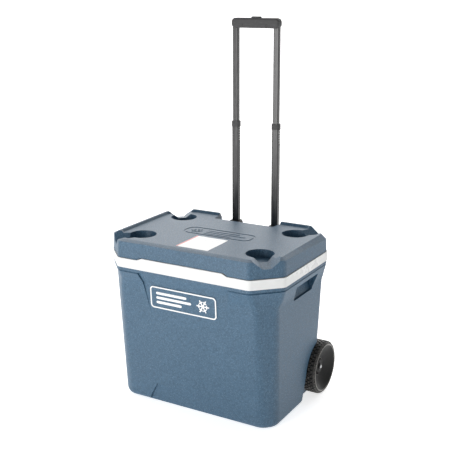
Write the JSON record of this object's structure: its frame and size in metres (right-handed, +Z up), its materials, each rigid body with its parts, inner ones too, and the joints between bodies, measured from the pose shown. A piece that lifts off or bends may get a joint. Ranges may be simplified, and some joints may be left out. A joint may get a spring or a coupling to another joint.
{
  "type": "wheeled cooler",
  "caption": "Insulated cooler on wheels with a hinged lid with cup holders, side hand holds, a drain and a telescopic pull handle.",
  "frame": {"origin": "on the ground under the middle of the rim", "axes": "+X along the length to the right, -Y out of the front, +Z up"},
  "size_m": [0.54, 0.4255, 1.053],
  "materials": {
    "shell_blue": "pebbled speckled slate blue",
    "lid_blue": "pebbled speckled slate blue",
    "liner_white": "smooth white",
    "foam": "closed cell foam",
    "badge_white": "smooth white",
    "hinge_black": "fine grain",
    "bracket_black": "fine grain",
    "tube_black": "satin black",
    "grip_black": "soft matte",
    "wheel_black": "blow moulded",
    "bush_white": "smooth",
    "steel": "zinc plated",
    "seal_rubber": "soft",
    "label_paper": "printed film"
  },
  "bodies": {
    "root": {"outer_shell": "shell_blue", "foam_core": "foam", "inner_liner": "liner_white", "badge_plate": "shell_blue", "badge_marks": "badge_white", "body_hinge_left": "hinge_black", "body_hinge_right": "hinge_black", "hinge_pin_left": "steel", "hinge_pin_right": "steel", "body_hinge_screws": "steel", "handle_bracket_upper": "bracket_black", "handle_bracket_lower": "bracket_black", "bracket_screws": "steel", "fixed_tube_left": "tube_black", "fixed_tube_right": "tube_black", "tube_plug_left": "bracket_black", "tube_plug_right": "bracket_black", "axle_plate_left": "bracket_black", "axle_plate_right": "bracket_black", "axle_plate_screws": "steel", "axle_left": "steel", "axle_right": "steel", "push_nut_left": "steel", "push_nut_right": "steel", "thrust_washers": "steel", "drain_spout": "liner_white", "drain_gasket": "seal_rubber", "drain_nut": "liner_white"},
    "lid": {"lid_shell": "lid_blue", "lid_liner": "liner_white", "lid_foam": "foam", "lid_label": "label_paper", "lid_hinge_left": "hinge_black", "lid_hinge_right": "hinge_black", "lid_hinge_screws": "steel"},
    "handle_lower": {"middle_tube_left": "tube_black", "middle_tube_right": "tube_black", "middle_collar_left": "bracket_black", "middle_collar_right": "bracket_black", "lower_pin_blocks": "bracket_black"},
    "handle_upper": {"upper_tube_left": "tube_black", "upper_tube_right": "tube_black", "upper_pin_blocks": "bracket_black", "grip_front": "grip_black", "grip_rear": "grip_black", "grip_screws": "steel", "button_spring": "steel"},
    "button": {"release_button": "grip_black", "push_rods": "steel"},
    "lower_pin_left": {"lower_lock_pin_left": "steel"},
    "lower_pin_right": {"lower_lock_pin_right": "steel"},
    "upper_pin_left": {"upper_lock_pin_left": "steel"},
    "upper_pin_right": {"upper_lock_pin_right": "steel"},
    "wheel_left": {"wheel_left": "wheel_black", "hub_bush_left": "bush_white"},
    "wheel_right": {"wheel_right": "wheel_black", "hub_bush_right": "bush_white"},
    "drain_seal": {"drain_seal": "seal_rubber"},
    "drain_cap": {"drain_cap": "liner_white"}
  },
  "joints": [
    {"name": "lid_hinge", "type": "hinge", "parent": "root", "child": "lid", "pos_m": [0, 0.206, 0.433], "axis": [-1, 0, 0], "range_deg": [0, 55]},
    {"name": "handle_lower_slide", "type": "slide", "parent": "root", "child": "handle_lower", "axis": [0, 0, 1], "range_m": [-0.283, 0]},
    {"name": "handle_upper_slide", "type": "slide", "parent": "handle_lower", "child": "handle_upper", "axis": [0, 0, 1], "range_m": [-0.264, 0]},
    {"name": "button_press", "type": "slide", "parent": "handle_upper", "child": "button", "axis": [0, 0, -1], "range_m": [0, 0.004], "stiffness_N_per_m": 900, "springref_m": -0.003, "deforming": ["button_spring"]},
    {"name": "lower_pin_left_slide", "type": "slide", "parent": "handle_lower", "child": "lower_pin_left", "axis": [1, 0, 0], "range_m": [0, 0.003]},
    {"name": "lower_pin_right_slide", "type": "slide", "parent": "handle_lower", "child": "lower_pin_right", "axis": [-1, 0, 0], "range_m": [0, 0.003]},
    {"name": "upper_pin_left_slide", "type": "slide", "parent": "handle_upper", "child": "upper_pin_left", "axis": [1, 0, 0], "range_m": [0, 0.003]},
    {"name": "upper_pin_right_slide", "type": "slide", "parent": "handle_upper", "child": "upper_pin_right", "axis": [-1, 0, 0], "range_m": [0, 0.003]},
    {"name": "wheel_left_spin", "type": "hinge", "parent": "root", "child": "wheel_left", "pos_m": [-0.2465, 0.1425, 0.0765], "axis": [1, 0, 0], "continuous": true},
    {"name": "wheel_right_spin", "type": "hinge", "parent": "root", "child": "wheel_right", "pos_m": [0.2465, 0.1425, 0.0765], "axis": [1, 0, 0], "continuous": true},
    {"name": "drain_cap_lift", "type": "slide", "parent": "root", "child": "drain_seal", "axis": [-1, 0, 0], "range_m": [0, 0.0046]},
    {"name": "drain_cap_turn", "type": "hinge", "parent": "drain_seal", "child": "drain_cap", "pos_m": [-0.25, -0.055, 0.06], "axis": [-1, 0, 0], "range_deg": [0, 540]}
  ],
  "couplings": [
    {"joint": "lower_pin_left_slide", "follows": "button_press", "ratio": 0.75},
    {"joint": "lower_pin_right_slide", "follows": "button_press", "ratio": 0.75},
    {"joint": "upper_pin_left_slide", "follows": "button_press", "ratio": 0.75},
    {"joint": "upper_pin_right_slide", "follows": "button_press", "ratio": 0.75},
    {"joint": "drain_cap_lift", "follows": "drain_cap_turn", "m_per_rad": 0.00047746}
  ]
}
